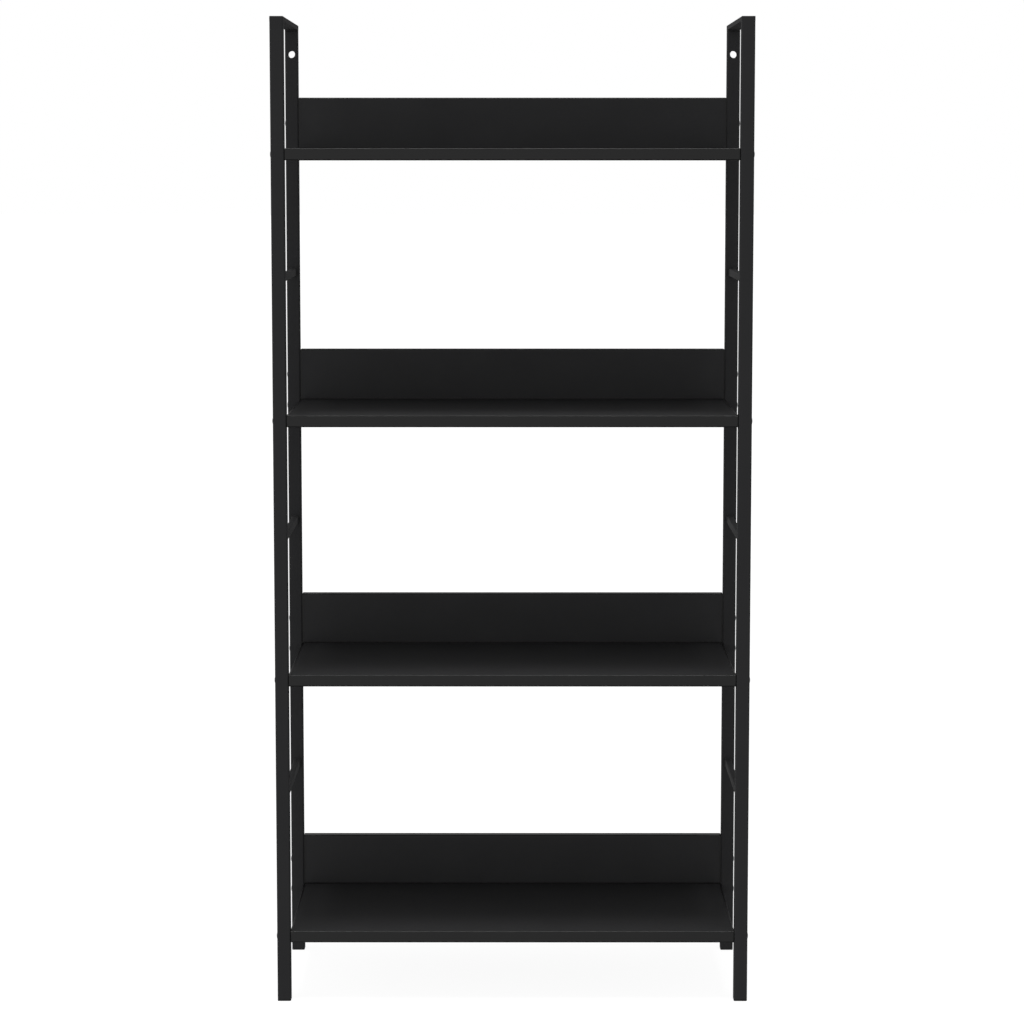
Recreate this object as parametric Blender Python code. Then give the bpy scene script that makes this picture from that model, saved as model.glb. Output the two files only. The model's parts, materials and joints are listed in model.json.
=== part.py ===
"""Bookcase with adjustable shelves: a square-tube steel frame that holds four boards.

Metres, +Z up. X runs across the bookcase, the front faces -Y, and the origin is on the floor under
the middle. Every side frame is two uprights joined by three rungs and a flat top rail. Each shelf is a
board with a low back panel, dowelled together and screwed between the uprights. The bottom and top
shelves brace the frame. The two middle ones move up and down in steps of one hole.
"""

import math

import bmesh
import bpy
from mathutils import Matrix, Vector

# Overall size
WIDTH = 0.600
DEPTH = 0.276
HEIGHT = 1.245
GAP = 0.0003  # left between pieces that touch

# Side frames
TUBE = 0.017
TUBE_WALL = 0.0015
TUBE_RADIUS = 0.002
RAIL_THICKNESS = 0.006
RUNG_WIDTH = 0.008
RUNG_HEIGHT = 0.010
RUNG_WALL = 0.001
RUNG_RADIUS = 0.0015
FIRST_RUNG = 0.2588
RUNG_SPACING = 0.33075
EDGE_BEVEL = 0.0005

# End plugs under the tubes
PLUG_HEAD = 0.002
PLUG_INSERT = 0.012

# Shelves, from the floor to the middle of each board's thickness
BOARD = 0.015
PANEL_HEIGHT = 0.0675
SHELF_HEIGHTS = {"bottom": 0.0838, "lower": 0.4145, "upper": 0.7433, "top": 1.0755}

# Holes that a shelf's front screws can use, counted from where the shelf stands, first to last
SHELF_HOLES = {"bottom": (0, 0), "lower": (-4, 2), "upper": (-2, 4), "top": (0, 0)}
HOLE_PITCH = (BOARD + PANEL_HEIGHT) / 2  # from the board's screw up to the panel's

# Screws, and the holes that they pass through
SHANK_DIAMETER = 0.005
HEAD_DIAMETER = 0.008
HEAD_RISE = 0.0009
HEAD_EDGE = 0.0003  # the straight rim under the dome of the head
SCREW_REACH = 0.030  # how far a screw goes into the board
SOCKET_DIAMETER = 0.0034  # across the corners of the hex
SOCKET_DEPTH = 0.0024
TUBE_HOLE = 0.006
BOARD_HOLE = 0.0058
SCREW_HOLE_EXTRA = 0.002  # beyond the end of a screw
WALL_FIXING_HOLE = 0.0095
WALL_FIXING_HEIGHT = 1.207

# Dowels between a board and its panel
DOWEL_DIAMETER = 0.006
DOWEL_HOLE = 0.0068
DOWEL_IN_BOARD = 0.009
DOWEL_IN_PANEL = 0.014
DOWEL_X = 0.180
DOWEL_CHAMFER = 0.0008
DOWEL_HOLE_EXTRA = 0.001  # beyond the end of a dowel

# Number of sides or segments that round shapes get here
HOLE_SIDES = 8
ROUND_SIDES = 8
CORNER_SEGMENTS = 2
DOME_STEPS = 2
SMOOTH_ANGLE = math.radians(50)

# Worked out from the sizes above
UPRIGHT_X = (WIDTH - TUBE) / 2
UPRIGHT_Y = (DEPTH - TUBE) / 2
INNER_X = WIDTH / 2 - TUBE
SHELF_LENGTH = 2 * (INNER_X - GAP)
TUBE_BOTTOM = PLUG_HEAD + GAP
TUBE_TOP = HEIGHT - RAIL_THICKNESS - GAP
PANEL_Y = (DEPTH - BOARD) / 2
SIDES = {"left": -1, "right": 1}
DEPTHS = {"front": -1, "rear": 1}


def srgb(hex_value):
    """Linear red, green, blue and alpha of a hex colour."""
    channels = [int(hex_value[i : i + 2], 16) / 255 for i in (0, 2, 4)]
    linear = [c / 12.92 if c <= 0.04045 else ((c + 0.055) / 1.055) ** 2.4 for c in channels]
    return (*linear, 1.0)


def make_material(name, hex_value, roughness, metallic=0.0):
    material = bpy.data.materials.new(name)
    material.use_nodes = True
    shader = material.node_tree.nodes["Principled BSDF"]
    shader.inputs["Base Color"].default_value = srgb(hex_value)
    shader.inputs["Roughness"].default_value = roughness
    shader.inputs["Metallic"].default_value = metallic
    material.diffuse_color = srgb(hex_value)
    return material


def finish_mesh(bm, name, smooth=False):
    """Turns a bmesh into a mesh whose faces point out."""
    bmesh.ops.recalc_face_normals(bm, faces=bm.faces)
    mesh = bpy.data.meshes.new(name)
    bm.to_mesh(mesh)
    bm.free()
    if smooth:
        mesh.shade_smooth()
        mesh.set_sharp_from_angle(angle=SMOOTH_ANGLE)
    return mesh


def add_object(name, mesh, material, parent, location=(0, 0, 0), turn_z=0.0):
    obj = bpy.data.objects.new(name, mesh)
    bpy.context.scene.collection.objects.link(obj)
    if not mesh.materials:
        mesh.materials.append(material)
    obj.parent = parent
    obj.location = location
    obj.rotation_euler.z = turn_z
    return obj


def add_empty(name, location=(0, 0, 0)):
    empty = bpy.data.objects.new(name, None)
    bpy.context.scene.collection.objects.link(empty)
    empty.location = location
    return empty


def rounded_outline(width, depth, radius):
    """Points of a rectangle with round corners, anticlockwise, centred on the origin."""
    points = []
    for corner in range(4):
        start = corner * math.pi / 2
        centre_x = (width / 2 - radius) * (1 if corner in (0, 3) else -1)
        centre_y = (depth / 2 - radius) * (1 if corner in (0, 1) else -1)
        for step in range(CORNER_SEGMENTS + 1):
            angle = start + step / CORNER_SEGMENTS * math.pi / 2
            points.append((centre_x + radius * math.cos(angle), centre_y + radius * math.sin(angle)))
    return points


def tube_mesh(name, width, depth, radius, wall, length):
    """A tube with an even wall, open at both ends, that stands on z = 0."""
    bm = bmesh.new()
    outer = [bm.verts.new((*p, 0)) for p in rounded_outline(width, depth, radius)]
    inner_outline = rounded_outline(width - 2 * wall, depth - 2 * wall, radius - wall)
    inner = [bm.verts.new((*p, 0)) for p in inner_outline]
    for i in range(len(outer)):
        after = (i + 1) % len(outer)
        bm.faces.new((outer[i], outer[after], inner[after], inner[i]))
    extruded = bmesh.ops.extrude_face_region(bm, geom=bm.faces[:])
    top = [item for item in extruded["geom"] if isinstance(item, bmesh.types.BMVert)]
    bmesh.ops.translate(bm, verts=top, vec=(0, 0, length))
    return finish_mesh(bm, name)


def box_mesh(name, size, bevel):
    """A box centred on the origin, with all its edges bevelled."""
    bm = bmesh.new()
    bmesh.ops.create_cube(bm, size=1, matrix=Matrix.Diagonal((*size, 1)))
    bmesh.ops.bevel(bm, geom=bm.edges[:], offset=bevel, segments=1, affect="EDGES")
    return finish_mesh(bm, name)


def turned_mesh(name, profile):
    """A solid turned about Z from (radius, height) points that start and end on the axis."""
    bm = bmesh.new()
    verts = [bm.verts.new((radius, 0, height)) for radius, height in profile]
    edges = [bm.edges.new(pair) for pair in zip(verts, verts[1:])]
    bmesh.ops.spin(
        bm, geom=verts + edges, cent=(0, 0, 0), axis=(0, 0, 1), angle=2 * math.pi, steps=ROUND_SIDES
    )
    bmesh.ops.remove_doubles(bm, verts=bm.verts, dist=1e-6)
    return finish_mesh(bm, name, smooth=True)


def add_cutter(target, mesh):
    """Cuts the target with a mesh that is placed in the target's own frame."""
    cutter = bpy.data.objects.new(target.name + "_cutter", mesh)
    bpy.context.scene.collection.objects.link(cutter)
    cutter.parent = target
    cutter.hide_render = True
    cutter.display_type = "WIRE"
    cut = target.modifiers.new("cut", "BOOLEAN")
    cut.operation = "DIFFERENCE"
    cut.solver = "EXACT"
    cut.object = cutter


def drill_mesh(name, holes, sides=HOLE_SIDES):
    """Round drills: each hole is its middle, the axis it runs along, its diameter and its length."""
    bm = bmesh.new()
    for middle, axis, diameter, length in holes:
        turn = Vector((0, 0, 1)).rotation_difference(Vector(axis)).to_matrix().to_4x4()
        bmesh.ops.create_cone(
            bm,
            cap_ends=True,
            segments=sides,
            radius1=diameter / 2,
            radius2=diameter / 2,
            depth=length,
            matrix=Matrix.Translation(middle) @ turn,
        )
    return finish_mesh(bm, name)


def screw_hole_heights(is_rear):
    """Heights of an upright's screw holes. A rear row goes one hole higher, for the panel's screw."""
    above = 1 if is_rear else 0
    heights = []
    for shelf, (first, last) in SHELF_HOLES.items():
        for step in range(first, last + above + 1):
            heights.append(SHELF_HEIGHTS[shelf] + step * HOLE_PITCH)
    return heights


def upright_drills(is_rear):
    """The holes of one upright, in its own frame, whose origin is at the foot of the tube."""
    through = 2 * TUBE
    holes = [((0, 0, z - TUBE_BOTTOM), (1, 0, 0), TUBE_HOLE, through) for z in screw_hole_heights(is_rear)]
    if is_rear:
        middle = (0, 0, WALL_FIXING_HEIGHT - TUBE_BOTTOM)
        holes.append((middle, (0, 1, 0), WALL_FIXING_HOLE, through))
    return holes


def plug_mesh():
    """An end plug: a foot as wide as the tube, and an insert that is pushed into it."""
    bm = bmesh.new()
    head = Matrix.Translation((0, 0, PLUG_HEAD / 2)) @ Matrix.Diagonal((TUBE, TUBE, PLUG_HEAD, 1))
    bmesh.ops.create_cube(bm, size=1, matrix=head)
    upright_edges = [e for e in bm.edges if abs(e.verts[0].co.z - e.verts[1].co.z) > PLUG_HEAD / 2]
    bmesh.ops.bevel(
        bm, geom=upright_edges, offset=TUBE_RADIUS, segments=CORNER_SEGMENTS, profile=0.5, affect="EDGES"
    )
    top = [f for f in bm.faces if f.normal.z > 0.9]
    bmesh.ops.inset_region(bm, faces=top, thickness=TUBE_WALL + GAP)
    insert = bmesh.ops.extrude_face_region(bm, geom=top)
    raised = [item for item in insert["geom"] if isinstance(item, bmesh.types.BMVert)]
    bmesh.ops.translate(bm, verts=raised, vec=(0, 0, PLUG_INSERT))
    bmesh.ops.delete(bm, geom=top, context="FACES")
    return finish_mesh(bm, "end_plug")


def dome_points(radius, edge, rise):
    """Points of a low dome from its rim up to the axis, above a straight edge."""
    height = rise - edge
    sphere = (radius**2 + height**2) / (2 * height)
    rim_angle = math.asin(radius / sphere)
    angles = [rim_angle * (1 - step / DOME_STEPS) for step in range(DOME_STEPS + 1)]
    return [(sphere * math.sin(a), rise - sphere * (1 - math.cos(a))) for a in angles]


def screw_mesh():
    """A connecting screw along Z, head up, with the seat of its head at z = 0."""
    shank = SHANK_DIAMETER / 2
    head = HEAD_DIAMETER / 2
    length = TUBE + GAP + SCREW_REACH
    tip = [(0, -length), (shank / 2, -length), (shank, -length + shank)]
    profile = [*tip, (shank, 0), (head, 0), *dome_points(head, HEAD_EDGE, HEAD_RISE)]
    blank = bpy.data.objects.new("screw_blank", turned_mesh("screw_blank", profile))
    bpy.context.scene.collection.objects.link(blank)
    hex_drill = [((0, 0, HEAD_RISE), (0, 0, 1), SOCKET_DIAMETER, 2 * SOCKET_DEPTH)]
    add_cutter(blank, drill_mesh("socket", hex_drill, sides=6))
    cut = blank.evaluated_get(bpy.context.evaluated_depsgraph_get())
    mesh = bpy.data.meshes.new_from_object(cut)
    mesh.name = "connecting_screw"
    for obj in (*blank.children, blank):
        bpy.data.objects.remove(obj)
    # laid along X with the head at +X, so that it only needs a turn about Z on the left
    mesh.transform(Matrix.Rotation(math.radians(90), 4, "Y"))
    return mesh


def dowel_mesh():
    """A dowel along Z with chamfered ends. z = 0 is where the board meets the panel."""
    radius = DOWEL_DIAMETER / 2
    top = DOWEL_IN_PANEL
    bottom = -DOWEL_IN_BOARD
    profile = [
        (0, bottom),
        (radius - DOWEL_CHAMFER, bottom),
        (radius, bottom + DOWEL_CHAMFER),
        (radius, top - DOWEL_CHAMFER),
        (radius - DOWEL_CHAMFER, top),
        (0, top),
    ]
    return turned_mesh("dowel", profile)


def end_drills(rows):
    """Blind screw holes in both ends of a board or panel, one pair for each (y, z) row."""
    depth = SCREW_REACH + SCREW_HOLE_EXTRA
    middle_x = SHELF_LENGTH / 2 - depth / 2 + GAP
    return [
        ((side * middle_x, y, z), (1, 0, 0), BOARD_HOLE, depth + 2 * GAP)
        for y, z in rows
        for side in SIDES.values()
    ]


def dowel_drills(y, face_z, depth, direction):
    """Blind dowel holes from a face at face_z into the piece, down (-1) or up (+1)."""
    reach = depth + DOWEL_HOLE_EXTRA
    middle_z = face_z + direction * (reach / 2 - GAP)
    return [((x, y, middle_z), (0, 0, 1), DOWEL_HOLE, reach + 2 * GAP) for x in (-DOWEL_X, DOWEL_X)]


def build_side_frames(steel, plastic):
    frame = add_empty("frame")
    rail = box_mesh("top_rail", (TUBE, DEPTH, RAIL_THICKNESS), EDGE_BEVEL)
    rung_length = 2 * UPRIGHT_Y - TUBE - 2 * GAP
    rung = tube_mesh("rung", RUNG_WIDTH, RUNG_HEIGHT, RUNG_RADIUS, RUNG_WALL, rung_length)
    rung.transform(Matrix.Rotation(math.radians(90), 4, "X") @ Matrix.Translation((0, 0, -rung_length / 2)))
    plug = plug_mesh()
    tube = tube_mesh("upright", TUBE, TUBE, TUBE_RADIUS, TUBE_WALL, TUBE_TOP - TUBE_BOTTOM)
    drills = {depth: drill_mesh(depth + "_drills", upright_drills(depth == "rear")) for depth in DEPTHS}

    for side, x_sign in SIDES.items():
        x = x_sign * UPRIGHT_X
        add_object(f"{side}_top_rail", rail, steel, frame, (x, 0, HEIGHT - RAIL_THICKNESS / 2))
        for i, level in enumerate(("lower", "middle", "upper")):
            height = FIRST_RUNG + i * RUNG_SPACING
            add_object(f"{side}_{level}_rung", rung, steel, frame, (x, 0, height))
        for depth, y_sign in DEPTHS.items():
            y = y_sign * UPRIGHT_Y
            upright = add_object(f"{depth}_{side}_upright", tube, steel, frame, (x, y, TUBE_BOTTOM))
            add_cutter(upright, drills[depth])
            add_object(f"{depth}_{side}_end_plug", plug, plastic, frame, (x, y, 0))


def build_shelves(melamine, screw_steel, beech):
    """Each shelf hangs from an empty at the middle of its board, which slides along Z."""
    board = box_mesh("shelf_board", (SHELF_LENGTH, DEPTH, BOARD), EDGE_BEVEL)
    panel_size = PANEL_HEIGHT - GAP
    panel = box_mesh("back_panel", (SHELF_LENGTH, BOARD, panel_size), EDGE_BEVEL)
    panel_z = BOARD / 2 + GAP + panel_size / 2
    board_rows = [(-UPRIGHT_Y, 0), (UPRIGHT_Y, 0)]
    board_drills = end_drills(board_rows) + dowel_drills(PANEL_Y, BOARD / 2, DOWEL_IN_BOARD, -1)
    panel_rows = [(UPRIGHT_Y - PANEL_Y, HOLE_PITCH - panel_z)]
    panel_drills = end_drills(panel_rows) + dowel_drills(0, -panel_size / 2, DOWEL_IN_PANEL, 1)
    board_cutter = drill_mesh("board_drills", board_drills)
    panel_cutter = drill_mesh("panel_drills", panel_drills)
    screw = screw_mesh()
    dowel = dowel_mesh()
    screw_rows = {
        "front": (-UPRIGHT_Y, 0),
        "rear": (UPRIGHT_Y, 0),
        "panel": (UPRIGHT_Y, HOLE_PITCH),
    }

    for shelf, height in SHELF_HEIGHTS.items():
        middle = add_empty(f"{shelf}_shelf", (0, 0, height))
        board_obj = add_object(f"{shelf}_shelf_board", board, melamine, middle)
        add_cutter(board_obj, board_cutter)
        panel_obj = add_object(f"{shelf}_back_panel", panel, melamine, middle, (0, PANEL_Y, panel_z))
        add_cutter(panel_obj, panel_cutter)
        for side, x_sign in SIDES.items():
            turn = 0 if x_sign > 0 else math.pi
            for row, (y, z) in screw_rows.items():
                place = (x_sign * (WIDTH / 2 + GAP), y, z)
                add_object(f"{shelf}_{row}_{side}_screw", screw, screw_steel, middle, place, turn)
            dowel_place = (x_sign * DOWEL_X, PANEL_Y, BOARD / 2)
            add_object(f"{shelf}_{side}_dowel", dowel, beech, middle, dowel_place)


def main():
    for obj in list(bpy.data.objects):
        bpy.data.objects.remove(obj)
    steel = make_material("powder_coated_steel", "2b2b2b", 0.5, metallic=0.0)
    melamine = make_material("melamine_faced_board", "272727", 0.45)
    plastic = make_material("moulded_plastic", "1d1d1d", 0.55)
    screw_steel = make_material("blackened_steel", "303030", 0.4, metallic=1.0)
    beech = make_material("beech", "c9a26b", 0.7)
    build_side_frames(steel, plastic)
    build_shelves(melamine, screw_steel, beech)


main()
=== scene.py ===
# %% [markdown]
# # A black bookcase of steel tube and board
#
# The real bookcase comes flat in a box. Two side frames are welded from square steel tube and powder
# coated. Four chipboard shelves, each with a low board along its back, are screwed between them.
# The two middle shelves can be screwed in higher or lower.
#
# This lesson makes the fine surface of every piece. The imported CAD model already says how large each
# piece is and where it goes, so every place below is read from it and nothing is fitted by eye.

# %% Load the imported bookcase
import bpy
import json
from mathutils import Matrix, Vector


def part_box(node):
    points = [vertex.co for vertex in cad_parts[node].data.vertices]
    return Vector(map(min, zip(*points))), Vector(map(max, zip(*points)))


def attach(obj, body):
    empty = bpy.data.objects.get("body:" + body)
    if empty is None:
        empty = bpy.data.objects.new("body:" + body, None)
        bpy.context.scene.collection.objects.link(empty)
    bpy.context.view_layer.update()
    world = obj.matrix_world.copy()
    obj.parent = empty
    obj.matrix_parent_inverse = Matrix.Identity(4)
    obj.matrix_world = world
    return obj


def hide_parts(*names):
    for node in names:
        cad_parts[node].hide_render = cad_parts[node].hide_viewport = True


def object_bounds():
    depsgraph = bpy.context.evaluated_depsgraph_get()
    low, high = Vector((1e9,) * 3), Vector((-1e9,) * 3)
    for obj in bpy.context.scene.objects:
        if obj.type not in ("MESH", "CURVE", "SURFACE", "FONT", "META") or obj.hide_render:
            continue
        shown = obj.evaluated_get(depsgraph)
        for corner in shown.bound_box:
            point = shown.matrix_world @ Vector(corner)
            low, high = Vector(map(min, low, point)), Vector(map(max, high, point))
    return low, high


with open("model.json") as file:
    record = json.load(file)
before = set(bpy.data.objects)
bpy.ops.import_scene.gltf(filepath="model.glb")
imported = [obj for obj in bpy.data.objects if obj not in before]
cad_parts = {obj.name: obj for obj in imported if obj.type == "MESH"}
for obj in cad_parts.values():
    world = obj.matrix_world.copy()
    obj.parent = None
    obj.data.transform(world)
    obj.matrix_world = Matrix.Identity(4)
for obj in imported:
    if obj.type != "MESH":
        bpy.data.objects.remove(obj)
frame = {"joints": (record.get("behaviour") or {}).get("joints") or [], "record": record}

CAD_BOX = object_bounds()
print("CAD box", [[round(v, 4) for v in corner] for corner in CAD_BOX])

# %% [markdown]
# ## Names and places
#
# The record lists which nodes move together and which finish each node has. One small table turns the
# first list round, so that a node's name gives its body.

# %% Bodies and levels
import contextlib
import json
import math

import bmesh
import bpy
from mathutils import Matrix, Vector

RECORD = frame["record"]
BODY_OF = {node: body for body, nodes in RECORD["behaviour"]["bodies"].items() for node in nodes}

SHELVES = ("bottom", "lower", "upper", "top")
LEVELS = ("lower", "middle", "upper")
SIDES = {"left": -1, "right": 1}
X, Y, Z = 0, 1, 2
MM = 0.001
NEAR = 0.01 * MM  # two places closer than this count as one
ALIGNED = 0.99  # how nearly a direction has to point along an axis


def middle_of(node):
    low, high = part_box(node)
    return (low + high) / 2


def near(a, b):
    return abs(a - b) < NEAR


# %% [markdown]
# ## Primitives
#
# A modeller starts from a primitive at its size and place. Everything is deselected before one is
# added, because an operator acts on all that is selected. Applying the transform leaves the object at
# the origin, with its place in its mesh.

# %% Helpers for a block and a rod


def add_block(name, low, high):
    """A cube primitive stretched between two corners."""
    low, high = Vector(low), Vector(high)
    bpy.ops.object.select_all(action="DESELECT")
    bpy.ops.mesh.primitive_cube_add(size=1, location=(low + high) / 2, scale=high - low)
    piece = bpy.context.object
    piece.name = piece.data.name = name
    bpy.ops.object.transform_apply()
    return piece


AXIS_TURN = {X: (0, math.pi / 2, 0), Y: (math.pi / 2, 0, 0), Z: (0, 0, 0)}


def add_rod(name, middle, axis, diameter, length, sides=32):
    """A cylinder primitive that lies along one axis."""
    bpy.ops.object.select_all(action="DESELECT")
    bpy.ops.mesh.primitive_cylinder_add(
        vertices=sides, radius=diameter / 2, depth=length, location=middle, rotation=AXIS_TURN[axis]
    )
    piece = bpy.context.object
    piece.name = piece.data.name = name
    bpy.ops.object.transform_apply()
    return piece


print("primitives lie along", len(AXIS_TURN), "axes")

# %% [markdown]
# ## Edit mode
#
# In edit mode some faces or edges are picked and one operator is run on them. By hand they are
# clicked. Here a small test is asked about each one's place or direction, so the choice stays right
# when a size changes.

# %% Helpers that pick edges and faces


@contextlib.contextmanager
def editing(piece, kind):
    """Edit mode on one piece, picking by VERT, EDGE or FACE."""
    bpy.ops.object.select_all(action="DESELECT")
    bpy.context.view_layer.objects.active = piece
    piece.select_set(True)
    bpy.ops.object.mode_set(mode="EDIT")
    bpy.ops.mesh.select_mode(type=kind)
    yield
    bpy.ops.object.mode_set(mode="OBJECT")


def pick_edges(piece, wanted):
    """Selects only the edges whose two end points the test accepts."""
    bpy.ops.mesh.select_all(action="DESELECT")
    for edge in bmesh.from_edit_mesh(piece.data).edges:
        edge.select_set(wanted(edge.verts[0].co, edge.verts[1].co))
    bmesh.update_edit_mesh(piece.data)


def pick_faces(piece, wanted):
    """Selects only the faces whose middle and normal the test accepts."""
    bpy.ops.mesh.select_all(action="DESELECT")
    for face in bmesh.from_edit_mesh(piece.data).faces:
        face.select_set(wanted(face.calc_center_median(), face.normal))
    bmesh.update_edit_mesh(piece.data)


print("a direction lies along an axis within", round(math.degrees(math.acos(ALIGNED))), "degrees")

# %% [markdown]
# Most pieces need only two tests, for edges that run along an axis and for edges at one end of the
# piece, and two operators. A bevel rounds what was picked. A tube is hollowed by insetting both of its
# ends by the thickness of the wall and bridging the two insets.

# %% Helpers that round and hollow


def runs_along(axis):
    """A test for edges that run along an axis."""
    return lambda a, b: abs((b - a).normalized()[axis]) > ALIGNED


def lies_at(axis, coordinate):
    """A test for edges that have both ends at one place along an axis."""
    return lambda a, b: near(a[axis], coordinate) and near(b[axis], coordinate)


def round_edges(piece, wanted, radius, segments=4):
    """Bevels the edges that the test accepts to a radius."""
    with editing(piece, "EDGE"):
        pick_edges(piece, wanted)
        bpy.ops.mesh.bevel(offset=radius, segments=segments, profile=0.5)


def hollow_out(piece, axis, wall):
    """Insets both end faces by the wall and bridges them, which leaves a tube or a ring."""
    with editing(piece, "FACE"):
        pick_faces(piece, lambda middle, normal: abs(normal[axis]) > ALIGNED)
        bpy.ops.mesh.inset(thickness=wall)
        bpy.ops.mesh.bridge_edge_loops()


print("tests", runs_along.__name__, lies_at.__name__)
print("operators", round_edges.__name__, hollow_out.__name__)

# %% [markdown]
# ## Joining, cutting and smoothing
#
# A Boolean drills a hole as a real drill does, through everything in its way. Smooth shading hides
# the facets of round parts, and weighted normals keep the large faces beside a soft edge truly flat,
# or each would carry a false gradient.

# %% Helpers that join, cut and smooth
SMOOTH_BELOW = 35  # degrees between two faces


def join(pieces):
    """Joins pieces into the first one."""
    bpy.ops.object.select_all(action="DESELECT")
    for piece in pieces:
        piece.select_set(True)
    bpy.context.view_layer.objects.active = pieces[0]
    bpy.ops.object.join()
    return pieces[0]


def cut_away(piece, cutter):
    """Applies a Boolean that takes the cutter out of the piece, and removes the cutter."""
    bpy.context.view_layer.objects.active = piece
    cut = piece.modifiers.new("cut", "BOOLEAN")
    cut.object = cutter
    bpy.ops.object.modifier_apply(modifier=cut.name)
    bpy.data.objects.remove(cutter)


def smooth(piece, degrees=SMOOTH_BELOW):
    """Smooth shading that stays sharp at steep edges and keeps the large faces flat."""
    bpy.ops.object.select_all(action="DESELECT")
    bpy.context.view_layer.objects.active = piece
    piece.select_set(True)
    bpy.ops.object.shade_smooth_by_angle(angle=math.radians(degrees))
    weigh = piece.modifiers.new("weigh", "WEIGHTED_NORMAL")
    weigh.keep_sharp = True
    bpy.ops.object.modifier_apply(modifier=weigh.name)


print("pieces are smoothed below", SMOOTH_BELOW, "degrees unless said otherwise")

# %% [markdown]
# ## Copies
#
# What repeats is modelled once, as a pattern, and each copy gets a mesh of its own. A copy then gets
# its finish, rides on the body of the CAD node that it stands for, and hides that node.

# %% Helpers for copies


def place(pattern, name, material, node=None, move=(0, 0, 0), turn=Matrix.Identity(4), like=None):
    """A copy of a pattern at its own place. like names a node on the same body, for added trim."""
    piece = bpy.data.objects.new(name, pattern.data.copy())
    bpy.context.collection.objects.link(piece)
    piece.data.name = name
    piece.data.transform(Matrix.Translation(move) @ turn)
    piece.data.materials.clear()
    piece.data.materials.append(material)
    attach(piece, BODY_OF[node or like])
    if node:
        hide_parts(node)
    return piece


# %% [markdown]
# ## Finishes
#
# Nearly everything here is black, so the finishes differ in how they scatter light and in how fine
# their surface is. Every pattern reads Object coordinates, turned into millimetres by a Mapping node,
# so a noise of scale 1 / 3 has grains about 3 mm across. Real grains under a millimetre would not show
# from where the camera stands, so the fine patterns are drawn coarser than life, at one to three
# millimetres. Colours are the hex values of a paint card, turned to linear light by one function.

# %% Helpers for materials


def srgb(hex_value):
    channels = [int(hex_value[i : i + 2], 16) / 255 for i in (0, 2, 4)]
    linear = [c / 12.92 if c <= 0.04045 else ((c + 0.055) / 1.055) ** 2.4 for c in channels]
    return (*linear, 1)


def add_node(tree, kind, inputs=None, **settings):
    """Adds a node. Settings are its own values, and inputs are values or other nodes' sockets."""
    made = tree.nodes.new(kind)
    for name, value in settings.items():
        setattr(made, name, value)
    for name, value in (inputs or {}).items():
        if isinstance(value, bpy.types.NodeSocket):
            tree.links.new(value, made.inputs[name])
        else:
            made.inputs[name].default_value = value
    return made


def new_material(name, **sockets):
    """A Principled material, its node tree, its shader and its coordinates in millimetres."""
    material = bpy.data.materials.new(name)
    material.use_nodes = True
    tree = material.node_tree
    shader = tree.nodes["Principled BSDF"]
    for socket, value in sockets.items():
        shader.inputs[socket.replace("_", " ")].default_value = value
    place_on_piece = add_node(tree, "ShaderNodeTexCoord").outputs["Object"]
    scale = {"Vector": place_on_piece, "Scale": (1 / MM, 1 / MM, 1 / MM)}
    millimetres = add_node(tree, "ShaderNodeMapping", scale).outputs["Vector"]
    return material, tree, shader, millimetres


print("808080 in linear light", [round(channel, 3) for channel in srgb("808080")[:3]])

# %% [markdown]
# ### Powder coat
#
# Polyester powder is sprayed dry on the steel and baked, and it sets with a faint orange peel and a
# fine grit on top of it. The real peel is one to two millimetres across and is drawn at three, and
# the grit at one. It is matt, so it shows broad soft highlights on the rounded corners of the tube
# and no mirror image. An image of real coating could be wrapped round each tube, but a noise needs no
# unwrapping and keeps one size on long and short pieces alike.

# %% Powder-coated steel
powder_coat, tree, shader, mm = new_material(
    "powder_coated_steel", Metallic=0.0, IOR=1.5, Specular_IOR_Level=0.35
)
peel = add_node(tree, "ShaderNodeTexNoise", {"Vector": mm, "Scale": 1 / 3, "Detail": 2.0})
grit = add_node(tree, "ShaderNodeTexNoise", {"Vector": mm, "Scale": 1 / 1.0, "Detail": 3.0})
cloud = add_node(tree, "ShaderNodeTexNoise", {"Vector": mm, "Scale": 1 / 90, "Detail": 3.0})
tone = add_node(
    tree,
    "ShaderNodeMix",
    {"Factor": cloud.outputs["Fac"], "A": srgb("28282a"), "B": srgb("2f2f30")},
    data_type="RGBA",
)
gloss = add_node(
    tree, "ShaderNodeMapRange", {"Value": grit.outputs["Fac"], "To Min": 0.68, "To Max": 0.82}
)
waves = add_node(
    tree, "ShaderNodeBump", {"Height": peel.outputs["Fac"], "Distance": 0.06 * MM}
)
grains = add_node(
    tree,
    "ShaderNodeBump",
    {"Height": grit.outputs["Fac"], "Distance": 0.02 * MM, "Normal": waves.outputs["Normal"]},
)
tree.links.new(tone.outputs["Result"], shader.inputs["Base Color"])
tree.links.new(gloss.outputs["Result"], shader.inputs["Roughness"])
tree.links.new(grains.outputs["Normal"], shader.inputs["Normal"])
print(powder_coat.name, len(tree.nodes), "nodes")

# %% [markdown]
# ### Melamine facing
#
# The boards are chipboard faced with resin-soaked black paper. The press plate leaves a fine pearl
# texture that breaks up reflections and hides fingerprints. Its real grains are about half a
# millimetre across and are drawn at two. The texture could be cut into the mesh, but a bump costs no
# faces, and at this depth the two look the same.

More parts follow.
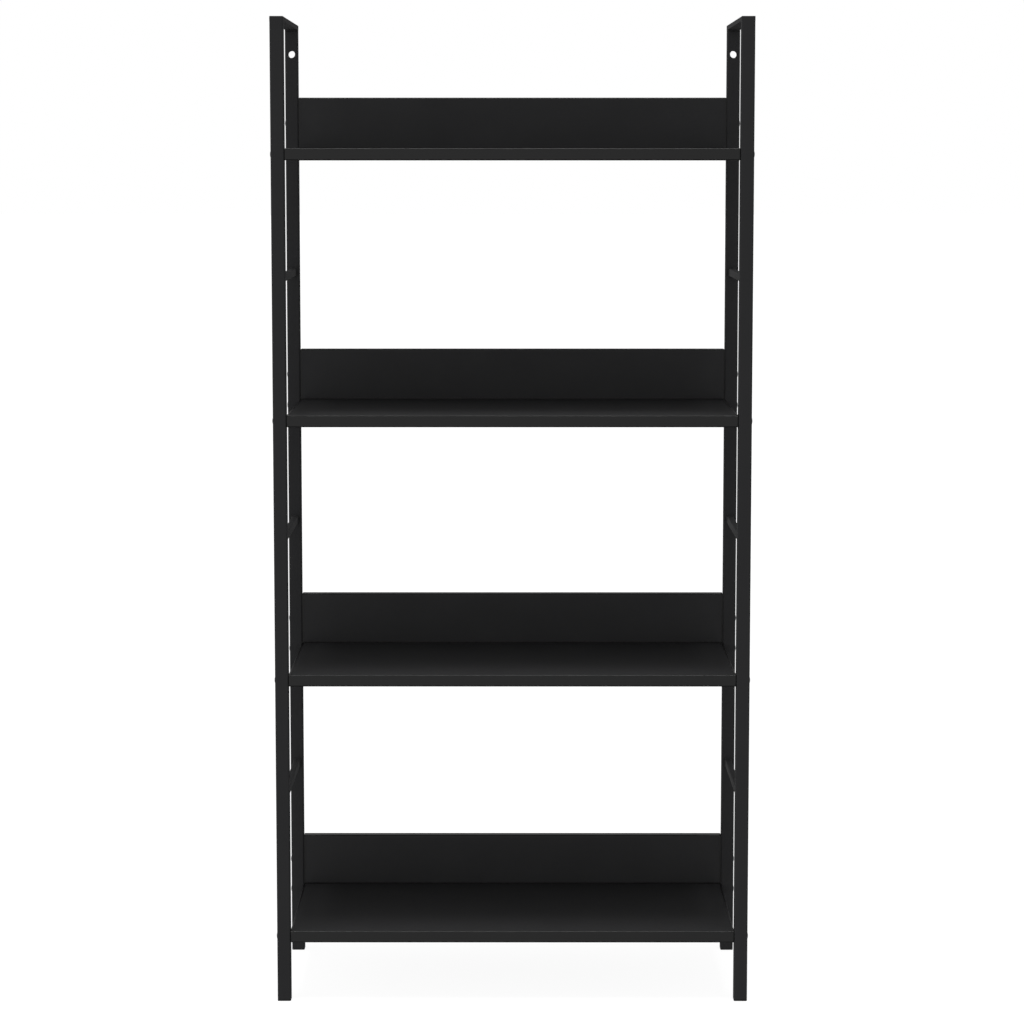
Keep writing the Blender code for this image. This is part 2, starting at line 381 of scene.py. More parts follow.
# %% Melamine-faced chipboard
melamine, tree, shader, mm = new_material(
    "melamine_faced_chipboard", Metallic=0.0, IOR=1.5, Specular_IOR_Level=0.05
)
pearl = add_node(tree, "ShaderNodeTexNoise", {"Vector": mm, "Scale": 1 / 2, "Detail": 2.0})
cloud = add_node(tree, "ShaderNodeTexNoise", {"Vector": mm, "Scale": 1 / 60, "Detail": 4.0})
tone = add_node(
    tree,
    "ShaderNodeMix",
    {"Factor": cloud.outputs["Fac"], "A": srgb("363637"), "B": srgb("3d3d3e")},
    data_type="RGBA",
)
gloss = add_node(
    tree, "ShaderNodeMapRange", {"Value": pearl.outputs["Fac"], "To Min": 0.42, "To Max": 0.54}
)
pressed = add_node(
    tree, "ShaderNodeBump", {"Height": pearl.outputs["Fac"], "Distance": 0.05 * MM}
)
tree.links.new(tone.outputs["Result"], shader.inputs["Base Color"])
tree.links.new(gloss.outputs["Result"], shader.inputs["Roughness"])
tree.links.new(pressed.outputs["Normal"], shader.inputs["Normal"])
print(melamine.name, len(tree.nodes), "nodes")

# %% [markdown]
# ### Edge band
#
# The raw edges of the boards are covered with a strip of black ABS, 2 mm thick. It is a shade
# smoother than the face, and the scraper that trims it leaves a round edge that catches light. It
# could share the finish of the face, but then the front of a board would lose its fine bright line.

# %% ABS edge band
edge_band, tree, shader, mm = new_material(
    "abs_edge_band", Metallic=0.0, IOR=1.5, Specular_IOR_Level=0.4
)
streaks_space = add_node(tree, "ShaderNodeMapping", {"Vector": mm, "Scale": (0.05, 0.05, 1.0)})
streaks = add_node(
    tree,
    "ShaderNodeTexNoise",
    {"Vector": streaks_space.outputs["Vector"], "Scale": 1 / 2, "Detail": 2.0},
)
tone = add_node(
    tree,
    "ShaderNodeMix",
    {"Factor": streaks.outputs["Fac"], "A": srgb("121212"), "B": srgb("171718")},
    data_type="RGBA",
)
gloss = add_node(
    tree, "ShaderNodeMapRange", {"Value": streaks.outputs["Fac"], "To Min": 0.3, "To Max": 0.4}
)
tree.links.new(tone.outputs["Result"], shader.inputs["Base Color"])
tree.links.new(gloss.outputs["Result"], shader.inputs["Roughness"])
print(edge_band.name, len(tree.nodes), "nodes")

# %% [markdown]
# ### Black oxide
#
# The screws are cold-forged steel, blackened in a hot salt bath. The layer is too thin to hide the
# metal, so they keep a dark satin shine of their own colour, and the die leaves them slightly uneven.
# A black paint would be simpler, but it would shine white, and only a metal tints its own highlights.

# %% Blackened steel
black_oxide, tree, shader, mm = new_material("black_oxide_steel", Metallic=1.0)
forged = add_node(tree, "ShaderNodeTexNoise", {"Vector": mm, "Scale": 1 / 1.0, "Detail": 3.0})
tone = add_node(
    tree,
    "ShaderNodeMix",
    {"Factor": forged.outputs["Fac"], "A": srgb("2e2e30"), "B": srgb("3c3c3e")},
    data_type="RGBA",
)
gloss = add_node(
    tree, "ShaderNodeMapRange", {"Value": forged.outputs["Fac"], "To Min": 0.32, "To Max": 0.48}
)
tree.links.new(tone.outputs["Result"], shader.inputs["Base Color"])
tree.links.new(gloss.outputs["Result"], shader.inputs["Roughness"])
print(black_oxide.name, len(tree.nodes), "nodes")

# %% [markdown]
# ### Polypropylene
#
# The plugs under the feet are moulded in one shot. The plastic is waxy rather than glossy, and the
# eroded mould gives it a fine grain. One noise drives its colour, its roughness and its bump, because
# all three come from the same grain.

# %% Moulded polypropylene
polypropylene, tree, shader, mm = new_material("moulded_polypropylene", Metallic=0.0, IOR=1.49)
mould = add_node(tree, "ShaderNodeTexNoise", {"Vector": mm, "Scale": 1 / 1.0, "Detail": 2.0})
tone = add_node(
    tree,
    "ShaderNodeMix",
    {"Factor": mould.outputs["Fac"], "A": srgb("131314"), "B": srgb("18181a")},
    data_type="RGBA",
)
gloss = add_node(
    tree, "ShaderNodeMapRange", {"Value": mould.outputs["Fac"], "To Min": 0.5, "To Max": 0.62}
)
spark = add_node(tree, "ShaderNodeBump", {"Height": mould.outputs["Fac"], "Distance": 0.02 * MM})
tree.links.new(tone.outputs["Result"], shader.inputs["Base Color"])
tree.links.new(gloss.outputs["Result"], shader.inputs["Roughness"])
tree.links.new(spark.outputs["Normal"], shader.inputs["Normal"])
print(polypropylene.name, len(tree.nodes), "nodes")

# %% [markdown]
# ### Beech
#
# The dowels are turned from beech, a pale wood with a close grain. The grain runs along them in fine
# streaks. A wave texture would give regular rings, so a noise is stretched along the dowel instead.

# %% Turned beech
beech, tree, shader, mm = new_material("turned_beech", Metallic=0.0, IOR=1.5, Roughness=0.65)
along_grain = add_node(tree, "ShaderNodeMapping", {"Vector": mm, "Scale": (1.0, 1.0, 0.08)})
grain = add_node(
    tree,
    "ShaderNodeTexNoise",
    {"Vector": along_grain.outputs["Vector"], "Scale": 1 / 0.7, "Detail": 4.0},
)
tone = add_node(
    tree,
    "ShaderNodeMix",
    {"Factor": grain.outputs["Fac"], "A": srgb("b98c5a"), "B": srgb("dcb98a")},
    data_type="RGBA",
)
tree.links.new(tone.outputs["Result"], shader.inputs["Base Color"])
print(beech.name, len(tree.nodes), "nodes")

# %% [markdown]
# ## Uprights
#
# The rows of screw holes are punched through both side walls of each upright. Their heights come from
# the screws themselves: a shelf that slides has a hole at every step of its joint's range. One step is
# the height of the back panel's screw over the rear screw of the board.

# %% Heights of the screw holes
SCREW_STEP = middle_of("top_panel_left_screw").z - middle_of("top_rear_left_screw").z
TRAVEL = {joint["child"]: joint["range_m"] for joint in frame["joints"]}


def hole_heights(is_rear):
    """Where one upright is drilled. A rear row has one more hole, for the screw of the panel."""
    heights = []
    for shelf in SHELVES:
        low, high = TRAVEL.get(f"{shelf}_shelf", (0, 0))
        first = round(low / SCREW_STEP)
        last = round(high / SCREW_STEP) + (1 if is_rear else 0)
        rest = middle_of(f"{shelf}_front_left_screw").z
        heights += [rest + step * SCREW_STEP for step in range(first, last + 1)]
    return heights


print("screw holes", len(hole_heights(False)), "in front,", len(hole_heights(True)), "at the back")

# %% [markdown]
# Each upright is a rolled square tube with soft corners. Its section could be drawn and extruded, but
# a cube takes its size straight from the CAD box, its four long edges are bevelled at once, and its two
# ends are inset by the wall and bridged into a bore. Holes are drilled after the tube is hollow, so
# that each goes through two thin walls. Then the rim of every hole is broken by a small bevel, as the
# coating rounds it on the real tube, and it catches a little light.

# %% The tube of one upright
TUBE_RADIUS = 2.0 * MM
TUBE_WALL = 1.5 * MM
SCREW_HOLE = 6.0 * MM
WALL_HOLE = 9.5 * MM
WALL_HOLE_BELOW_TOP = 38.0 * MM
HOLE_EDGE = 0.25 * MM
RIM_STEP = 0.8 * MM  # the straight steps of a hole's rim are all shorter than this
BURIED = 0.01 * MM  # how far welded pieces run into each other


def upright_pattern(depth):
    """The left upright at the front or the rear, with its holes."""
    low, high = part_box(f"{depth}_left_upright")
    rail_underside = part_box("left_top_rail")[0].z
    high.z = rail_underside + BURIED
    tube = add_block("upright_pattern", low, high)
    round_edges(tube, runs_along(Z), TUBE_RADIUS, segments=6)
    hollow_out(tube, Z, TUBE_WALL)

    middle = (low + high) / 2
    reach = 2 * (high.x - low.x)
    drills = [
        add_rod("drill", (middle.x, middle.y, height), X, SCREW_HOLE, reach)
        for height in hole_heights(depth == "rear")
    ]
    if depth == "rear":
        height = CAD_BOX[1].z - WALL_HOLE_BELOW_TOP
        drills.append(add_rod("drill", (middle.x, middle.y, height), Y, WALL_HOLE, reach, sides=48))
    cut_away(tube, join(drills))

    def rim_of_a_hole(a, b):
        on_side = all(near(abs(p.x - middle.x), (high.x - low.x) / 2) for p in (a, b))
        on_back = all(near(abs(p.y - middle.y), (high.y - low.y) / 2) for p in (a, b))
        is_short = (a - b).length < RIM_STEP
        return (on_side or on_back) and is_short

    round_edges(tube, rim_of_a_hole, HOLE_EDGE, segments=2)
    smooth(tube)
    return tube


patterns = {depth: upright_pattern(depth) for depth in ("front", "rear")}
print("upright faces", {depth: len(pattern.data.polygons) for depth, pattern in patterns.items()})

# %% A tube on each side
for depth, pattern in patterns.items():
    for side in SIDES:
        node = f"{depth}_{side}_upright"
        move = middle_of(node) - middle_of(f"{depth}_left_upright")
        piece = place(pattern, f"{node}_tube", powder_coat, node, move=move)
        print(piece.name, "at x", round(middle_of(node).x, 4))
    bpy.data.objects.remove(pattern)

# %% [markdown]
# ## Top rails
#
# A flat bar lies across the two tubes of a side frame and closes them. It is welded on and ground
# flush, so its underside stays sharp, and its top edges and its corners are a little round. Under it,
# in the two inner corners, the weld stays as a small fillet.

# %% Rail
RAIL_RADIUS = 0.8 * MM

low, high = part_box("left_top_rail")
rail = add_block("rail_pattern", low, high)
round_edges(rail, lambda a, b: lies_at(Z, high.z)(a, b) or runs_along(Z)(a, b), RAIL_RADIUS)
print("rail", [round(size / MM, 1) for size in high - low], "mm")

# %% [markdown]
# A weld fillet could be swept along the corner, but it is so short that a small block will do. One of
# its edges is bevelled nearly all the way, with a hollow profile, which leaves the sunk triangle that
# molten steel settles into.

# %% Two fillets, and a rail on each side
FILLET = 2.4 * MM
FILLET_BEVEL = 0.96 * FILLET
FILLET_PROFILE = 0.36  # under 0.5, a bevel is hollow

fillets = []
for depth, inward in (("front", 1), ("rear", -1)):
    tube_low, tube_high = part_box(f"{depth}_left_upright")
    wall_y = tube_high.y if inward > 0 else tube_low.y
    near_y, far_y = sorted((wall_y - inward * BURIED, wall_y + inward * FILLET))
    fillet = add_block(
        "fillet",
        (tube_low.x + TUBE_RADIUS, near_y, low.z - FILLET),
        (tube_high.x - TUBE_RADIUS, far_y, low.z + BURIED),
    )
    open_y = far_y if inward > 0 else near_y
    with editing(fillet, "EDGE"):
        pick_edges(
            fillet,
            lambda a, b: lies_at(Y, open_y)(a, b) and lies_at(Z, low.z - FILLET)(a, b),
        )
        bpy.ops.mesh.bevel(offset=FILLET_BEVEL, segments=6, profile=FILLET_PROFILE)
    fillets.append(fillet)
join([rail, *fillets])
smooth(rail)
for side in SIDES:
    node = f"{side}_top_rail"
    move = middle_of(node) - middle_of("left_top_rail")
    place(rail, f"{node}_bar", powder_coat, node, move=move)
print("rail", len(rail.data.polygons), "faces")
bpy.data.objects.remove(rail)

# %% [markdown]
# ## Rungs
#
# A rung is a thin oblong tube between the front and the rear upright. It could be a solid bar, since
# its ends are closed by the uprights, but it is made as an upright is, from a block with round long
# edges and a bore, so that it is the tube that it says it is.

# %% The tube of a rung
RUNG_RADIUS = 1.5 * MM
RUNG_WALL = 1.0 * MM

low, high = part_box("left_lower_rung")
front_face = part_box("front_left_upright")[1].y
rear_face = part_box("rear_left_upright")[0].y
low.y, high.y = front_face - BURIED, rear_face + BURIED
rung = add_block("rung_pattern", low, high)
round_edges(rung, runs_along(Y), RUNG_RADIUS)
hollow_out(rung, Y, RUNG_WALL)
print("rung", [round(size / MM, 1) for size in high - low], "mm")

# %% [markdown]
# At both ends a weld bead runs round the rung. A torus would leave gaps at the flat sides, so the bead
# is a short, wider block with soft edges, hollow so that it sits on the tube as a collar. Its points
# are shaken a little, because a hand-held torch never leaves an even seam.

# %% A weld bead at each end
BEAD_WIDTH = 1.7 * MM
BEAD_RISE = 1.3 * MM
BEAD_ROUNDING = 0.75 * BEAD_WIDTH
BEAD_SHAKE = 0.09 * MM

beads = []
rise = Vector((BEAD_RISE, 0, BEAD_RISE))
for wall_y, inward in ((low.y, 1), (high.y, -1)):
    near_y, far_y = sorted((wall_y, wall_y + inward * BEAD_WIDTH))
    bead_low = Vector((low.x, near_y, low.z)) - rise
    bead_high = Vector((high.x, far_y, high.z)) + rise
    bead = add_block("bead", bead_low, bead_high)
    round_edges(bead, runs_along(Y), RUNG_RADIUS + BEAD_RISE, segments=8)
    hollow_out(bead, Y, BEAD_RISE + RUNG_WALL / 2)
    open_y = far_y if inward > 0 else near_y
    middle = (bead_low + bead_high) / 2

    def outer_rim(a, b):
        def is_outer(p):
            far_x = abs(p.x - middle.x) > (high.x - low.x) / 2
            far_z = abs(p.z - middle.z) > (high.z - low.z) / 2
            return near(p.y, open_y) and (far_x or far_z)

        return is_outer(a) and is_outer(b)

    round_edges(bead, outer_rim, BEAD_ROUNDING, segments=3)
    with editing(bead, "VERT"):
        bpy.ops.mesh.select_all(action="SELECT")
        bpy.ops.transform.vertex_random(offset=BEAD_SHAKE, seed=len(beads))
    beads.append(bead)
print("beads", len(beads), "of", len(beads[0].data.vertices), "points each")

# %% Six rungs
join([rung, *beads])
smooth(rung, degrees=50)
for side in SIDES:
    for level in LEVELS:
        node = f"{side}_{level}_rung"
        move = middle_of(node) - middle_of("left_lower_rung")
        place(rung, f"{node}_tube", powder_coat, node, move=move)
print("rung", len(rung.data.polygons), "faces")
bpy.data.objects.remove(rung)

# %% [markdown]
# ## End plugs
#
# A plastic plug closes the foot of each tube and keeps the steel off the floor. Its foot is as wide
# as the tube, and its shank has three springy fins that grip the bore. The fins could be separate
# plates, but a moulding is one piece, so they are drawn out of it by extruding the top of the shank
# again and again, wider and narrower in turn.

# %% Plug with fins
PLUG_FOOT = 2.0 * MM
PLUG_EDGE = 0.6 * MM
SHANK_INSET = 2.2 * MM
FIN_STEP = 1.6 * MM
FIN_FLARE = 1.055
FINS = 3
# How much each extrusion of a fin widens, and how far it goes, as a share of a step.
FIN_PROFILE = ((1, 1), (FIN_FLARE, 0.5), (1, 0.2), (1 / FIN_FLARE, 0.5))

low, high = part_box("front_left_end_plug")
centre = (low + high) / 2
plug = add_block("plug_pattern", low, (high.x, high.y, low.z + PLUG_FOOT))
round_edges(plug, runs_along(Z), TUBE_RADIUS, segments=6)
round_edges(plug, lies_at(Z, low.z), PLUG_EDGE, segments=3)
with editing(plug, "FACE"):
    pick_faces(plug, lambda middle, normal: normal.z > ALIGNED)
    bpy.ops.mesh.inset(thickness=SHANK_INSET)
    for _ in range(FINS):
        for grow, lift in FIN_PROFILE:
            bpy.ops.mesh.extrude_region_move(TRANSFORM_OT_translate={"value": (0, 0, lift * FIN_STEP)})
            bpy.ops.transform.resize(value=(grow, grow, 1), center_override=centre)
smooth(plug)
for depth in ("front", "rear"):
    for side in SIDES:
        node = f"{depth}_{side}_end_plug"
        move = middle_of(node) - middle_of("front_left_end_plug")
        place(plug, f"{node}_moulding", polypropylene, node, move=move)
print("plug", len(plug.data.polygons), "faces")
bpy.data.objects.remove(plug)

# %% [markdown]
# ## Shelf boards and back panels
#
# A board is two things: the faced core, and the band glued round its four edges. One block with two
# finishes would show no joint between them, so each is a piece of its own. The core is a plain cut
# block, so its edges stay nearly sharp. The band is a ring, made by insetting and bridging the two
# faces of a block. The one edge that a hand meets, a board's front or a panel's top, is rounded well,
# and the edges against steel or board are only trimmed, so the joints close tightly. Every hole is
# drilled through the core and the band alike.

# %% A faced core with a band round it
BAND = 2.0 * MM
BAND_RADIUS = 1.8 * MM
TRIMMED_RADIUS = 0.25 * MM
GLUE_LINE = 0.04 * MM
CORE_EDGE = 0.08 * MM


def banded_board(name, low, high, face_axis, open_side, holes):
    """A core and the band round its edges. The two faces look along face_axis, and open_side is the
    axis and the coordinate of the one edge that is rounded."""
    inset = Vector((BAND + GLUE_LINE,) * 3)
    inset[face_axis] = 0
    core = add_block(f"{name}_core", low + inset, high - inset)
    round_edges(core, lambda a, b: near(a[face_axis], b[face_axis]), CORE_EDGE, segments=1)
    band = add_block(f"{name}_band", low, high)
    hollow_out(band, face_axis, BAND)

    def on_border(p, axis):
        return near(p[axis], low[axis]) or near(p[axis], high[axis])

    def outer_rim(a, b):
        others = [axis for axis in (X, Y, Z) if axis != face_axis]
        return all(on_border(p, face_axis) and any(on_border(p, i) for i in others) for p in (a, b))

    def open_rim(a, b):
        axis, coordinate = open_side
        return outer_rim(a, b) and lies_at(axis, coordinate)(a, b)

    round_edges(band, open_rim, BAND_RADIUS, segments=5)
    round_edges(band, outer_rim, TRIMMED_RADIUS, segments=2)
    for piece in (core, band):
        cut_away(piece, join([add_rod("drill", *hole) for hole in holes]))
        smooth(piece)
    return core, band


print("band", BAND / MM, "mm thick, its open edge rounded by", BAND_RADIUS / MM, "mm")

# %% [markdown]
# The screw holes go into both ends of a board or a panel. The two dowel holes go up into the panel and
# down into the board, a little deeper than the dowel, which leaves room for the glue.

# %% Holes of a board
BOARD_HOLE = 5.8 * MM
BOARD_HOLE_DEPTH = 32.0 * MM
DOWEL_HOLE = 6.8 * MM
INNER_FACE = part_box("front_right_upright")[0].x


def end_holes(rows):
    """Blind holes from both ends of a board, for screws at each (y, z) row."""
    length = 2 * BOARD_HOLE_DEPTH
    return [
        ((sign * INNER_FACE, y, z), X, BOARD_HOLE, length) for y, z in rows for sign in SIDES.values()
    ]


def dowel_holes(z_from, z_to):
    """The two upright dowel holes, between two heights."""
    length = z_to - z_from
    holes = []
    for side in SIDES:
        middle = middle_of(f"bottom_{side}_dowel")
        holes.append(((middle.x, middle.y, (z_from + z_to) / 2), Z, DOWEL_HOLE, length))
    return holes


print("drills", BOARD_HOLE / MM, "and", DOWEL_HOLE / MM, "mm")

# %% [markdown]
# Both patterns are made at the place of the bottom shelf. They stop just short of the uprights and of
# each other, as real ones do to be easy to put in, and faces that only touch would flicker.

# %% Ends of the board and the panel
END_GAP = 0.1 * MM  # between a board's end and the upright
PANEL_GAP = 0.05 * MM  # between a board and the panel that stands on it

board_low, board_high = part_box("bottom_shelf_board")
panel_low, panel_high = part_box("bottom_back_panel")
for low, high in ((board_low, board_high), (panel_low, panel_high)):
    low.x, high.x = -INNER_FACE + END_GAP, INNER_FACE - END_GAP
panel_low.z = board_high.z + PANEL_GAP
print("board", [round(size / MM, 1) for size in board_high - board_low], "mm")
print("panel", [round(size / MM, 1) for size in panel_high - panel_low], "mm")

# %% Board pattern and panel pattern
DOWEL_HOLE_EXTRA = 1.0 * MM
DRILL_PAST = 1.0 * MM  # how far a drill starts outside the face that it enters

front_screw = middle_of("bottom_front_left_screw")
rear_screw = middle_of("bottom_rear_left_screw")
panel_screw = middle_of("bottom_panel_left_screw")
dowel_low, dowel_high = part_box("bottom_left_dowel")

board_rows = [(front_screw.y, front_screw.z), (rear_screw.y, rear_screw.z)]
board_holes = end_holes(board_rows)
board_holes += dowel_holes(dowel_low.z - DOWEL_HOLE_EXTRA, board_high.z + DRILL_PAST)
front_edge = (Y, board_low.y)
board_core, board_band = banded_board("board", board_low, board_high, Z, front_edge, board_holes)

panel_rows = [(panel_screw.y, panel_screw.z)]
panel_holes = end_holes(panel_rows)
panel_holes += dowel_holes(panel_low.z - DRILL_PAST, dowel_high.z + DOWEL_HOLE_EXTRA)
top_edge = (Z, panel_high.z)
panel_core, panel_band = banded_board("panel", panel_low, panel_high, Y, top_edge, panel_holes)
print("board", len(board_holes), "holes, panel", len(panel_holes), "holes")

# %% A board and a panel at each shelf
for shelf in SHELVES:
    board = f"{shelf}_shelf_board"
    panel = f"{shelf}_back_panel"
    move = middle_of(board) - middle_of("bottom_shelf_board")
    place(board_core, f"{board}_core", melamine, board, move=move)
    place(board_band, f"{board}_edge_band", edge_band, like=board, move=move)
    place(panel_core, f"{panel}_core", melamine, panel, move=move)
    place(panel_band, f"{panel}_edge_band", edge_band, like=panel, move=move)
for pattern in (board_core, board_band, panel_core, panel_band):
    print(pattern.name, len(pattern.data.polygons), "faces")
    bpy.data.objects.remove(pattern)

# %% [markdown]
# ## Screws
#
# Each corner of a shelf is held by a long screw that goes through the tube into the end of the board.
# Only its low round head shows. The shank is a cylinder with a bevelled point. Its thread could be
# made with a Screw modifier, but it is hidden in the board and is left out.

# %% Shank, with the head's end towards +X
SHANK_DIAMETER = 5.0 * MM
POINT_CHAMFER = 1.0 * MM

tube_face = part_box("front_right_upright")[1].x
screw_low, screw_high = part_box("bottom_front_right_screw")
axis_point = middle_of("bottom_front_right_screw")
head_rise = screw_high.x - tube_face
shank_length = tube_face - screw_low.x
shank_middle = (tube_face - shank_length / 2, axis_point.y, axis_point.z)
screw = add_rod("screw_pattern", shank_middle, X, SHANK_DIAMETER, shank_length, sides=48)
seat = Vector((tube_face, axis_point.y, axis_point.z))
round_edges(screw, lies_at(X, screw_low.x), POINT_CHAMFER, segments=2)
print("shank", round(shank_length / MM, 1), "mm, head", round(head_rise / MM, 1), "mm high")

# %% [markdown]
# The head could be a flattened ball stuck on the shank, but a real one is pressed out of the same
# wire. So it is drawn out of the end of the shank: the end face is widened, lifted for the rim, then
# lifted and narrowed along an arc for the dome. The hex socket is cut out of it last.

# %% Domed head with a hex socket
HEAD_DIAMETER = 8.0 * MM
HEAD_RIM = 0.4 * MM
SOCKET_ACROSS_CORNERS = 3.4 * MM
SOCKET_DEPTH = 2.2 * MM
DOME_STEPS = 7

dome_rise = head_rise - HEAD_RIM
head_radius = HEAD_DIAMETER / 2
ball_radius = (head_radius**2 + dome_rise**2) / (2 * dome_rise)
rim_angle = math.asin(head_radius / ball_radius)
with editing(screw, "FACE"):
    pick_faces(screw, lambda middle, normal: normal.x > ALIGNED and near(middle.x, tube_face))
    bpy.ops.mesh.extrude_region()
    widen = HEAD_DIAMETER / SHANK_DIAMETER
    bpy.ops.transform.resize(value=(1, widen, widen), center_override=seat)
    bpy.ops.mesh.extrude_region_move(TRANSFORM_OT_translate={"value": (HEAD_RIM, 0, 0)})
    radius, height = head_radius, 0.0
    for step in range(1, DOME_STEPS):
        angle = rim_angle * (1 - step / DOME_STEPS)
        next_radius = ball_radius * math.sin(angle)
        next_height = ball_radius * math.cos(angle) - (ball_radius - dome_rise)
        bpy.ops.mesh.extrude_region_move(TRANSFORM_OT_translate={"value": (next_height - height, 0, 0)})
        narrow = next_radius / radius
        bpy.ops.transform.resize(value=(1, narrow, narrow), center_override=seat)
        radius, height = next_radius, next_height
socket_middle = (screw_high.x, axis_point.y, axis_point.z)
cut_away(screw, add_rod("socket", socket_middle, X, SOCKET_ACROSS_CORNERS, 2 * SOCKET_DEPTH, sides=6))
smooth(screw, degrees=30)
print("screw", len(screw.data.polygons), "faces")

# %% Six screws for each shelf
for shelf in SHELVES:
    for row in ("front", "rear", "panel"):
        for side, sign in SIDES.items():
            node = f"{shelf}_{row}_{side}_screw"
            goal = middle_of(node)
            about = Matrix.Translation((0, goal.y, goal.z))
            flip = Matrix.Rotation(math.pi if sign < 0 else 0, 4, "Z")
            home = Matrix.Translation((0, -axis_point.y, -axis_point.z))
            place(screw, f"{node}_forging", black_oxide, node, turn=about @ flip @ home)
bpy.data.objects.remove(screw)

# %% [markdown]
# ## Dowels
#
# Two beech dowels line up each back panel on its board. They are out of sight, and are fluted along
# their length so that glue can escape. The flutes could be cut one by one, but a cylinder with an even
# number of sides gives them in one move, when every second line of its points is drawn inwards.

# %% Fluted dowel
FLUTES = 18
FLUTE_SHARE = 0.94  # the width across the flutes, as a share of the width across the ridges
DOWEL_CHAMFER = 0.8 * MM

low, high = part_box("bottom_left_dowel")
middle = (low + high) / 2
dowel = add_rod("dowel_pattern", middle, Z, high.x - low.x, high.z - low.z, sides=2 * FLUTES)
with editing(dowel, "VERT"):
    mesh = bmesh.from_edit_mesh(dowel.data)
    bpy.ops.mesh.select_all(action="DESELECT")
    for vert in mesh.verts:
        turn_number = math.atan2(vert.co.y - middle.y, vert.co.x - middle.x) / math.tau * 2 * FLUTES
        vert.select_set(round(turn_number) % 2 == 1)
    bmesh.update_edit_mesh(dowel.data)
    bpy.ops.transform.resize(value=(FLUTE_SHARE, FLUTE_SHARE, 1), center_override=middle)
round_edges(dowel, lambda a, b: near(a.z, b.z), DOWEL_CHAMFER, segments=1)
smooth(dowel, degrees=20)
for shelf in SHELVES:
    for side in SIDES:
        node = f"{shelf}_{side}_dowel"
        move = middle_of(node) - middle_of("bottom_left_dowel")
        place(dowel, f"{node}_pin", beech, node, move=move)
print("dowel", len(dowel.data.polygons), "faces")
bpy.data.objects.remove(dowel)

# %% [markdown]
# ## Studio
#
# The bookcase stands on a sheet of white acrylic that glows a little, so that shadows on it stay
# faint. A truly white sheet would make black surfaces seen edge-on glow, so this one is seen by the
# camera alone and takes no part in what the piece reflects.

# %% Table
TABLE_SIZE = 120.0  # metres, so that its edge is never seen
TABLE_GLOW = 0.92
bpy.ops.object.select_all(action="DESELECT")
bpy.ops.mesh.primitive_plane_add(size=TABLE_SIZE, location=(0, 0, CAD_BOX[0].z))
table = bpy.context.object
table.name = "shooting_table"
table.visible_diffuse = False
table.visible_glossy = False
acrylic = new_material(
    "white_acrylic",
    Metallic=0.0,
    Roughness=0.8,
    Specular_IOR_Level=0.1,
    Base_Color=srgb("959595"),
    Emission_Color=(1, 1, 1, 1),
    Emission_Strength=TABLE_GLOW,
)[0]
table.data.materials.append(acrylic)
print("table at", round(CAD_BOX[0].z, 4), "m")

# %% [markdown]
# ## Room
#
# The piece is lit by a dim grey room. Its left wall is the brightest, then come the front wall, the
# right one and the rear one, and its ceiling and ground are dimmer still, so that each side of a square
# tube gets a tone of its own. Each change is one fade along one axis of the direction that a ray looks
# in, and the fades are multiplied. The camera alone sees plain white instead, as behind a cut-out.

# %% Grey room
FRONT_GLOW = 0.78
REAR_GLOW = 0.34
LEFT_SHARE = 1.15
RIGHT_SHARE = 0.65
CEILING_SHARE = 0.25  # the ceiling and the ground, against the walls
FADE_BACK = (0.4, 0.95)  # where a fade starts and stops, along Y from the side walls to the rear one
FADE_ACROSS = (-0.8, 0.8)  # along X from the left wall to the right one
FADE_UP = (0.25, 0.8)  # up or down along Z from the walls to the ceiling or the ground

world = bpy.data.worlds.new("grey_room")
bpy.context.scene.world = world
world.use_nodes = True
tree = world.node_tree
direction = add_node(tree, "ShaderNodeTexCoord").outputs["Generated"]
split = add_node(tree, "ShaderNodeSeparateXYZ", {"Vector": direction}).outputs
steepness = add_node(tree, "ShaderNodeMath", {0: split["Z"]}, operation="ABSOLUTE")
fades = (
    (split["Y"], FADE_BACK, (FRONT_GLOW, REAR_GLOW)),
    (split["X"], FADE_ACROSS, (LEFT_SHARE, RIGHT_SHARE)),
    (steepness.outputs["Value"], FADE_UP, (1.0, CEILING_SHARE)),
)
glow = 1.0
for value, (start, stop), (first, last) in fades:
    ends = {"From Min": start, "From Max": stop, "To Min": first, "To Max": last}
    fade = add_node(
        tree, "ShaderNodeMapRange", {"Value": value, **ends}, interpolation_type="SMOOTHSTEP"
    )
    factors = {0: glow, 1: fade.outputs["Result"]}
    glow = add_node(tree, "ShaderNodeMath", factors, operation="MULTIPLY").outputs["Value"]
backdrop = add_node(tree, "ShaderNodeBackground", {"Color": (1, 1, 1, 1), "Strength": 1.0})
seen = add_node(tree, "ShaderNodeLightPath").outputs["Is Camera Ray"]
room = tree.nodes["Background"]
room.inputs["Color"].default_value = (1, 1, 1, 1)
tree.links.new(glow, room.inputs["Strength"])
choice = {0: seen, 1: room.outputs["Background"], 2: backdrop.outputs["Background"]}
mixed = add_node(tree, "ShaderNodeMixShader", choice)
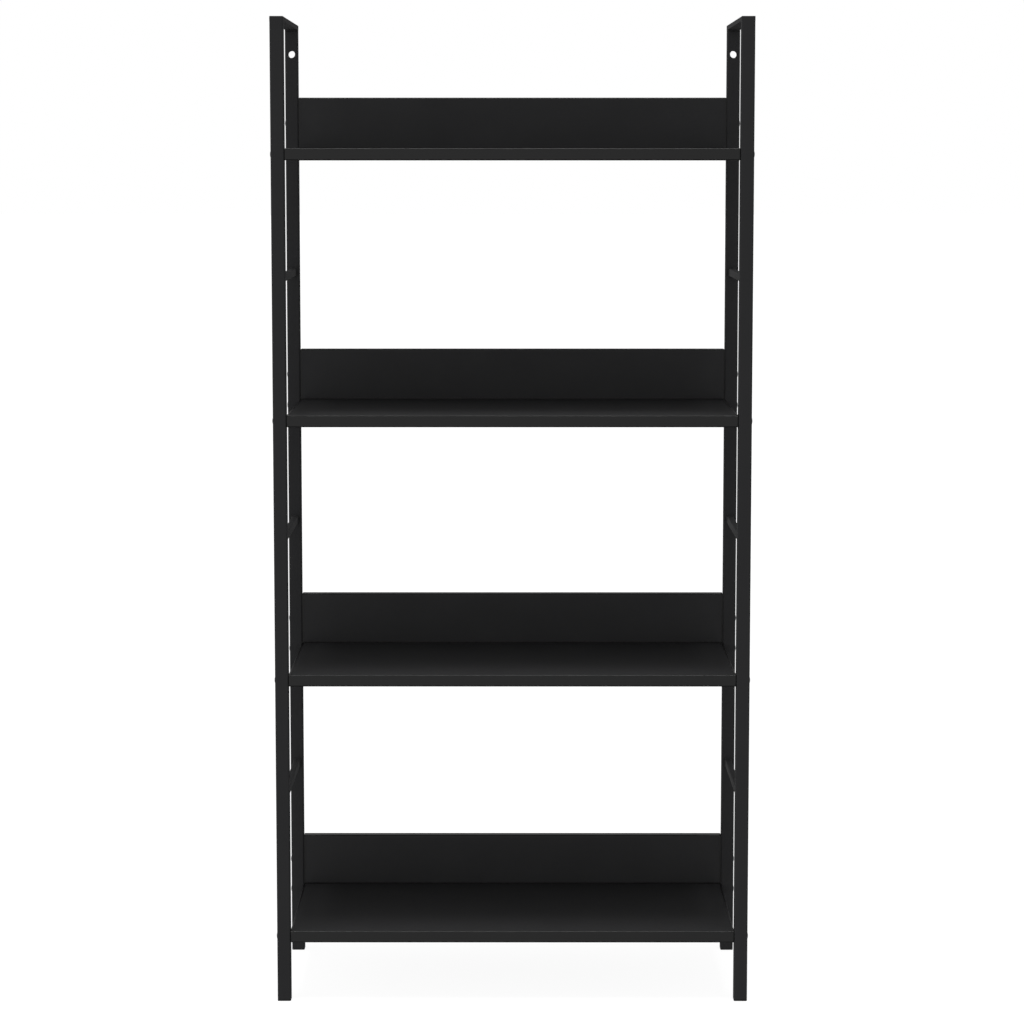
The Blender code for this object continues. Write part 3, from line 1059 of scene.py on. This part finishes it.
tree.links.new(mixed.outputs["Shader"], tree.nodes["World Output"].inputs["Surface"])
print("room", len(tree.nodes), "nodes")

# %% [markdown]
# ## Lamp
#
# One broad lamp hangs almost overhead, a little to the front. It lights the front strip of each
# board, as far as the board above lets it, and draws a thin light line along the rounded front edges.
# An area lamp would be brighter on the top shelf than on the bottom one, and a sun is even on all four.

# %% Lamp overhead
LAMP_STRENGTH = 0.9
LAMP_WIDTH = math.radians(20)
LAMP_HEIGHT = math.radians(82)

lamp_data = bpy.data.lights.new("top_lamp", "SUN")
lamp_data.energy = LAMP_STRENGTH
lamp_data.angle = LAMP_WIDTH
lamp = bpy.data.objects.new("top_lamp", lamp_data)
lamp.rotation_euler = (math.pi / 2 - LAMP_HEIGHT, 0, 0)
bpy.context.collection.objects.link(lamp)
bpy.context.scene.view_settings.view_transform = "Standard"
print("lamp", round(math.degrees(LAMP_HEIGHT)), "degrees above the horizon")

# %% [markdown]
# ## Camera
#
# The camera stands four metres off with a long lens, level with the top shelf. That shelf is seen
# edge-on, and each one below it shows more of its top. A lens that shifts could keep the uprights
# exactly upright, but a camera that tilts keeps the whole bookcase in the picture from every side.

# %% Camera in front
CAMERA_PLACE = Vector((0.003, -3.997, 1.065))
CAMERA_TILT = math.radians(6.442)
CAMERA_TURN = math.radians(0.051)
CAMERA_LENS = 108.74  # in millimetres, as is the sensor
CAMERA_SENSOR = 36.0

camera_data = bpy.data.cameras.new("camera")
camera_data.lens = CAMERA_LENS
camera_data.sensor_width = CAMERA_SENSOR
camera = bpy.data.objects.new("camera", camera_data)
camera.location = CAMERA_PLACE
camera.rotation_euler = (math.radians(90) - CAMERA_TILT, 0, CAMERA_TURN)
bpy.context.collection.objects.link(camera)
bpy.context.scene.camera = camera
print("camera", round(-CAMERA_PLACE.y, 3), "m in front of the middle, lens", CAMERA_LENS, "mm")

# %% [markdown]
# ## Size
#
# The visual model has to keep the size of the CAD model. This last cell only brings the scene up to
# date.

# %% Bring the scene up to date
bpy.context.view_layer.update()
